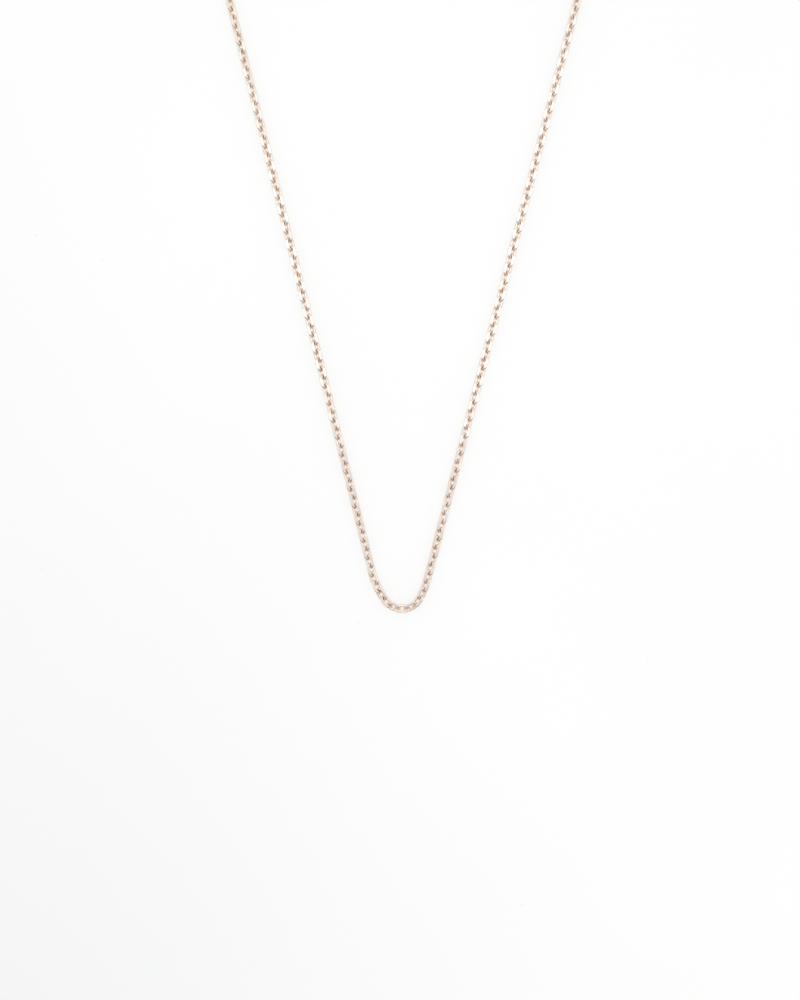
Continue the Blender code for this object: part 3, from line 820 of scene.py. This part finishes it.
def add_spring(matrix):
    """The trigger's coil spring, as a round wire wound round the pin."""
    shape = bmesh.new()
    steps = SPRING_STEPS * SPRING_TURNS
    up = Vector((0, 0, 1))
    loops = []
    for k in range(steps + 1):
        turn = 2 * math.pi * SPRING_TURNS * k / steps
        outward = Vector((math.cos(turn), math.sin(turn), 0.0))
        centre = outward * SPRING_RADIUS + PIVOT
        centre.z = SPRING_HEIGHT + SPRING_PITCH * SPRING_TURNS * k / steps
        loops.append(wire_section(shape, centre, outward, up, SPRING_WIRE / 2, SPRING_SEGMENTS))
    joined_rings(shape, loops, False)
    shape.faces.new(loops[0])
    shape.faces.new(loops[-1])
    shape.transform(PLACE @ matrix)
    crisp = math.radians(60)
    finish_piece("clasp_coil", shape, "clasp", ["clasp_spring"], [spring_metal], crisp)


def add_ends():
    """The clasp on its jump ring at the right end, and the end ring with the tag at the left end."""
    along, middle, eye = clasp_ring_places()
    add_ring("clasp_jump_ring", CLASP_RING, standing_frame(middle, along), math.radians(70))
    matrix = level_frame(eye, along)
    add_clasp_body(matrix)
    add_trigger(matrix)
    add_pin(matrix)
    add_spring(matrix)
    along, middle, small, hole = end_ring_places()
    add_ring("end_ring", END_RING, level_frame(middle, along), math.radians(160))
    add_ring("tag_ring", TAG_RING, standing_frame(small, along), math.radians(60))
    add_tag(level_frame(hole, along, TAG_SLOPE))


# ---------------------------------------------------------------- studio


def add_floor():
    shape = bmesh.new()
    corners = box_outline(-FLOOR_HALF, FLOOR_HALF, -FLOOR_HALF, FLOOR_HALF)
    shape.faces.new([shape.verts.new((x, y, 0.0)) for x, y in corners])
    mesh = bpy.data.meshes.new("floor")
    shape.to_mesh(mesh)
    shape.free()
    mesh.materials.append(paper_material())
    floor = bpy.data.objects.new("floor", mesh)
    bpy.context.scene.collection.objects.link(floor)


def dull_material(name, colour):
    """Matt paint for what only the metal shows."""
    made = bpy.data.materials.new(name)
    made.use_nodes = True
    shader = made.node_tree.nodes["Principled BSDF"]
    shader.inputs["Base Color"].default_value = (*colour, 1.0)
    shader.inputs["Roughness"].default_value = 0.9
    return made


def add_shade(name, shape, colour):
    """A thing of the studio that only the metal shows: it isn't seen itself and casts no shadow."""
    mesh = bpy.data.meshes.new(name)
    shape.to_mesh(mesh)
    shape.free()
    mesh.materials.append(dull_material(name, colour))
    thing = bpy.data.objects.new(name, mesh)
    bpy.context.scene.collection.objects.link(thing)
    thing.visible_camera = False
    thing.visible_diffuse = False
    thing.visible_shadow = False


def add_shades():
    """What the metal reflects besides the lamp: the photographer's camera overhead and a dim wall."""
    front = bmesh.new()
    place = Matrix.Translation(VIEW_MIDDLE + Vector((0.0, 0.0, CAMERA_HEIGHT)) + CAMERA_FRONT_OFFSET)
    bmesh.ops.create_circle(front, cap_ends=True, segments=48, radius=CAMERA_FRONT_RADIUS, matrix=place)
    add_shade("camera_front", front, CAMERA_FRONT_COLOUR)
    wall = bmesh.new()
    rows = []
    for x, y in ellipse(VIEW_MIDDLE, (WALL_RADIUS, WALL_RADIUS), *WALL_ARC, WALL_STEPS):
        rows.append((wall.verts.new((x, y, 0.0)), wall.verts.new((x, y, WALL_HEIGHT))))
    for one, other in zip(rows, rows[1:]):
        wall.faces.new((one[0], other[0], other[1], one[1]))
    add_shade("dim_wall", wall, WALL_COLOUR)


def add_lights():
    """One soft oval lamp overhead, which the camera doesn't see, and an even pale sky."""
    data = bpy.data.lights.new("key", "AREA")
    data.shape = "ELLIPSE"
    data.size, data.size_y = LAMP_SIZE
    data.energy = LAMP_POWER
    data.color = LAMP_COLOUR
    lamp = bpy.data.objects.new("key", data)
    lamp.location = LAMP_SPOT
    toward = Vector((VIEW_MIDDLE.x, VIEW_MIDDLE.y, 0.0)) - Vector(LAMP_SPOT)
    lamp.rotation_euler = toward.to_track_quat("-Z", "Y").to_euler()
    lamp.visible_camera = False
    bpy.context.scene.collection.objects.link(lamp)
    world = bpy.data.worlds.new("studio")
    world.use_nodes = True
    background = world.node_tree.nodes["Background"]
    background.inputs["Color"].default_value = (*SKY_COLOUR, 1.0)
    background.inputs["Strength"].default_value = SKY_STRENGTH
    bpy.context.scene.world = world


def add_camera():
    data = bpy.data.cameras.new("camera")
    data.lens = LENS
    data.sensor_width = SENSOR
    camera = bpy.data.objects.new("camera", data)
    camera.location = VIEW_MIDDLE + Vector((0.0, 0.0, CAMERA_HEIGHT))
    camera.rotation_euler = (0.0, 0.0, VIEW_TURN)
    bpy.context.scene.collection.objects.link(camera)
    bpy.context.scene.camera = camera
    data.clip_start, data.clip_end = CLIPPING


add_chain()
add_ends()
add_floor()
add_lights()
add_shades()
add_camera()
bpy.context.scene.view_settings.view_transform = "Standard"
bpy.context.scene.view_settings.look = "None"
